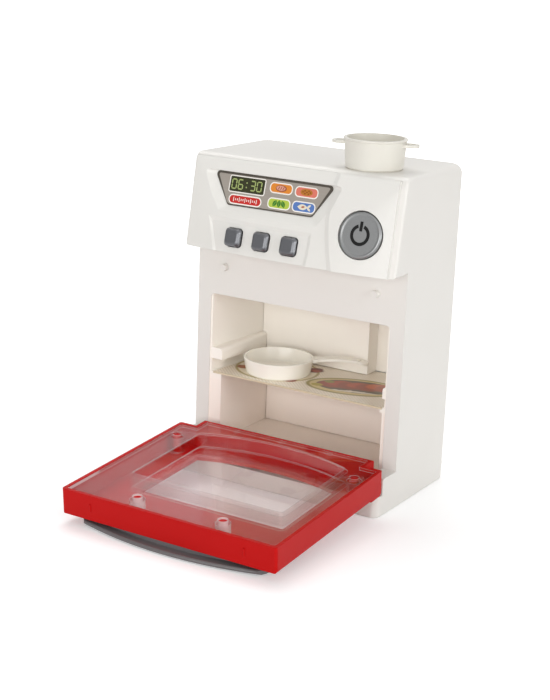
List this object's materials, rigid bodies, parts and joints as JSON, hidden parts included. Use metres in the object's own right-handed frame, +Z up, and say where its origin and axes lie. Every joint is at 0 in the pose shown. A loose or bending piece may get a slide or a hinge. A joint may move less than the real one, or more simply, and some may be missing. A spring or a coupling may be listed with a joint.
{
  "type": "toy oven",
  "caption": "Toy oven on a flat base: drop-down door with a sunken clear window, shelf, sloping panel with push buttons, and a pan and a pot that lift off.",
  "frame": {"origin": "middle of the base, on the surface the oven stands on", "axes": "+Z up, -Y out of the open door, +X to the right of someone who faces the oven"},
  "size_m": [0.13, 0.1887, 0.196],
  "materials": {
    "white_plastic": "satin moulded",
    "display_print": "brushed look printed film",
    "grey_key": "gloss",
    "silver_plastic": "silver painted, satin",
    "keypad_rubber": "matt",
    "board_laminate": "solder resist",
    "zinc_steel": "zinc plated",
    "cone_paper": "matt",
    "cell_jacket": "gloss jacket",
    "lamp_lens": "clear, tinted",
    "red_plastic": "gloss moulded",
    "clear_plastic": "clear polystyrene",
    "dark_grey_plastic": "satin moulded",
    "shelf_print": "printed film on sheet",
    "cream_plastic": "satin moulded"
  },
  "bodies": {
    "cabinet": {"cabinet_shell": "white_plastic", "rear_cover": "white_plastic", "battery_door": "white_plastic", "control_panel": "white_plastic", "display_label": "display_print", "rubber_keypad": "keypad_rubber", "circuit_board": "board_laminate", "board_screws": "zinc_steel", "speaker_basket": "zinc_steel", "speaker_cone": "cone_paper", "battery_cells": "cell_jacket", "battery_contacts": "zinc_steel", "oven_lamp": "lamp_lens", "case_screws": "zinc_steel", "battery_door_screw": "zinc_steel"},
    "door": {"door_frame": "red_plastic", "door_window": "clear_plastic", "door_handle": "dark_grey_plastic"},
    "button_left": {"button_left": "grey_key"},
    "button_middle": {"button_middle": "grey_key"},
    "button_right": {"button_right": "grey_key"},
    "power_button": {"power_button": "silver_plastic"},
    "shelf": {"oven_shelf": "shelf_print"},
    "pan": {"frying_pan": "cream_plastic"},
    "pot": {"cooking_pot": "cream_plastic"}
  },
  "joints": [
    {"name": "door_hinge", "type": "hinge", "parent": "cabinet", "child": "door", "pos_m": [0, -0.0333, 0.0191], "axis": [-1, 0, 0], "range_deg": [0, 94.07]},
    {"name": "left_button_press", "type": "slide", "parent": "cabinet", "child": "button_left", "axis": [0, 0.9655, -0.2604], "range_m": [0, 0.0012], "stiffness_N_per_m": 300, "deforming": ["rubber_keypad"]},
    {"name": "middle_button_press", "type": "slide", "parent": "cabinet", "child": "button_middle", "axis": [0, 0.9655, -0.2604], "range_m": [0, 0.0012], "stiffness_N_per_m": 300, "deforming": ["rubber_keypad"]},
    {"name": "right_button_press", "type": "slide", "parent": "cabinet", "child": "button_right", "axis": [0, 0.9655, -0.2604], "range_m": [0, 0.0012], "stiffness_N_per_m": 300, "deforming": ["rubber_keypad"]},
    {"name": "power_button_press", "type": "slide", "parent": "cabinet", "child": "power_button", "axis": [0, 0.9655, -0.2604], "range_m": [0, 0.0015], "stiffness_N_per_m": 400, "deforming": ["rubber_keypad"]},
    {"name": "shelf_slide", "type": "slide", "parent": "cabinet", "child": "shelf", "axis": [0, 1, 0], "range_m": [-0.045, 0]},
    {"name": "pan_slide", "type": "slide", "parent": "shelf", "child": "pan", "axis": [0, 1, 0], "range_m": [-0.12, 0]},
    {"name": "pot_lift", "type": "slide", "parent": "cabinet", "child": "pot", "axis": [0, 0, 1], "range_m": [0, 0.06]}
  ]
}
